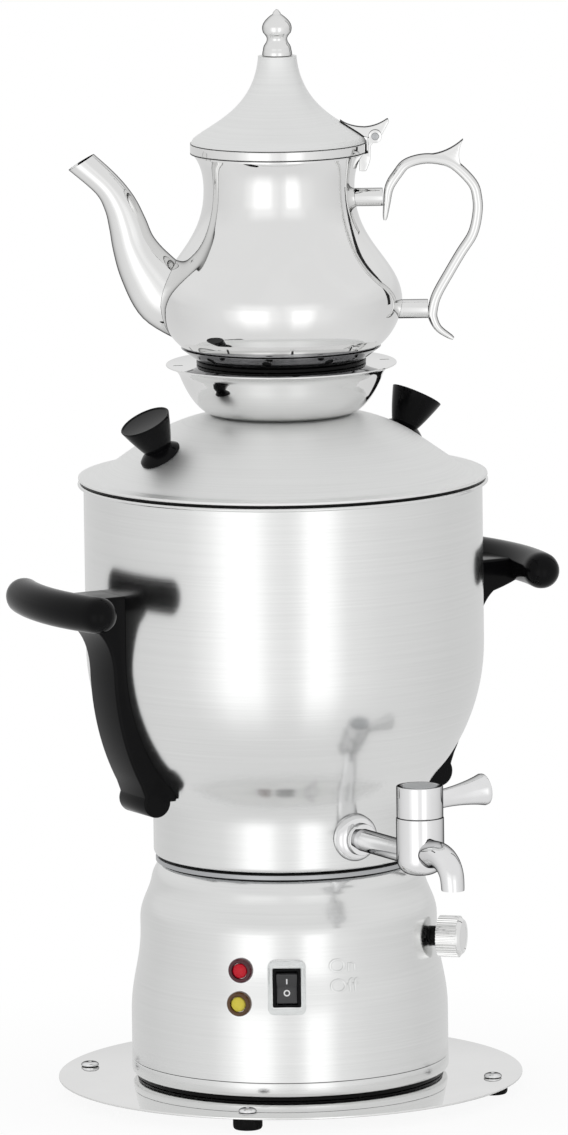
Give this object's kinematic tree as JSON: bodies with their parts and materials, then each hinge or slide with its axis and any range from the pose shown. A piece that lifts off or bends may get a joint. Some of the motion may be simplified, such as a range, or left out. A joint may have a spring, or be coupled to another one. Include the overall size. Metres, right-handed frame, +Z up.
{
  "type": "samovar",
  "caption": "Electric samovar: steel water vessel on a round base plate with heater, controls, tap and carrying handles, and a teapot standing on its lid.",
  "frame": {"origin": "on the surface the feet stand on, under the middle of the base plate", "axes": "+Z up, the tap points to -Y, the carrying handles stand at -X and +X"},
  "size_m": [0.3046, 0.3036, 0.5841],
  "materials": {
    "satin_steel": "satin, lightly brushed round the body",
    "polished_steel": "mirror polished",
    "chrome": "bright chrome plate",
    "dull_steel": "plain, dull",
    "black_gloss": "glossy black",
    "black_rubber": "matte black",
    "clear_cover": "clear, soft",
    "red_lens": "bright red",
    "dark_red": "dark red",
    "yellow_lens": "pale yellow",
    "brown": "amber brown",
    "aluminium": "cast",
    "ceramic": "off-white ceramic",
    "brass": "turned"
  },
  "bodies": {
    "base": {"base_plate": "polished_steel", "foot_1": "black_rubber", "foot_2": "black_rubber", "foot_3": "black_rubber", "foot_4": "black_rubber", "foot_screw_1": "chrome", "foot_screw_2": "chrome", "foot_screw_3": "chrome", "foot_screw_4": "chrome", "base_seal_ring": "black_rubber", "base_ring": "polished_steel", "base_shell": "satin_steel", "joint_gasket": "black_rubber", "joint_collar": "dull_steel", "vessel": "satin_steel", "heater_plate": "aluminium", "heater_element": "dull_steel", "thermal_cutout": "ceramic", "tie_rod": "dull_steel", "tie_nut": "dull_steel", "thermostat_body": "ceramic", "thermostat_bush": "black_gloss", "switch_housing": "black_gloss", "switch_frame": "clear_cover", "heating_lamp_bezel": "dark_red", "heating_lamp_lens": "red_lens", "keep_warm_lamp_bezel": "brown", "keep_warm_lamp_lens": "yellow_lens", "cable_gland": "black_gloss", "tap_rosette": "chrome", "tap_body": "chrome", "tap_lock_nut": "brass", "handle_bracket_left": "black_gloss", "handle_bracket_right": "black_gloss", "handle_grip_left": "black_gloss", "handle_grip_right": "black_gloss", "handle_bolt_left": "dull_steel", "handle_bolt_right": "dull_steel"},
    "knob": {"thermostat_knob": "chrome", "thermostat_shaft": "dull_steel"},
    "rocker": {"switch_rocker": "black_gloss"},
    "tap_key": {"tap_lever": "chrome", "tap_cap": "dull_steel", "tap_plug": "brass"},
    "lid_group": {"lid": "satin_steel", "lid_knob_left": "black_gloss", "lid_knob_right": "black_gloss"},
    "stand_group": {"steam_stand": "polished_steel", "stand_seal": "black_rubber", "warming_ring": "polished_steel"},
    "teapot": {"teapot_body": "polished_steel", "teapot_spout": "polished_steel", "teapot_handle_post_upper": "polished_steel", "teapot_handle_post_lower": "polished_steel", "teapot_handle": "polished_steel", "hinge_bracket": "polished_steel", "hinge_pin": "dull_steel"},
    "teapot_lid_group": {"teapot_lid": "polished_steel", "thumb_lever": "polished_steel", "lid_finial": "polished_steel"}
  },
  "joints": [
    {"name": "lid_lift", "type": "slide", "parent": "base", "child": "lid_group", "axis": [0, 0, 1], "range_m": [0, 0.15]},
    {"name": "stand_lift", "type": "slide", "parent": "lid_group", "child": "stand_group", "axis": [0, 0, 1], "range_m": [0, 0.06]},
    {"name": "teapot_lift", "type": "slide", "parent": "stand_group", "child": "teapot", "axis": [0, 0, 1], "range_m": [0, 0.12]},
    {"name": "teapot_lid_hinge", "type": "hinge", "parent": "teapot", "child": "teapot_lid_group", "pos_m": [0.0446, -0.02575, 0.5159], "axis": [0.5, 0.866, 0], "range_deg": [0, 95]},
    {"name": "tap_turn", "type": "hinge", "parent": "base", "child": "tap_key", "pos_m": [0, -0.1396, 0.16], "axis": [0, 0, -1], "range_deg": [0, 90]},
    {"name": "switch_rock", "type": "hinge", "parent": "base", "child": "rocker", "pos_m": [-0.04165, -0.06931, 0.0705], "axis": [-0.8572, 0.515, 0], "range_deg": [0, 18]},
    {"name": "thermostat_turn", "type": "hinge", "parent": "base", "child": "knob", "pos_m": [0.05657, -0.05657, 0.0861], "axis": [0.7071, -0.7071, 0], "range_deg": [0, 270]}
  ]
}
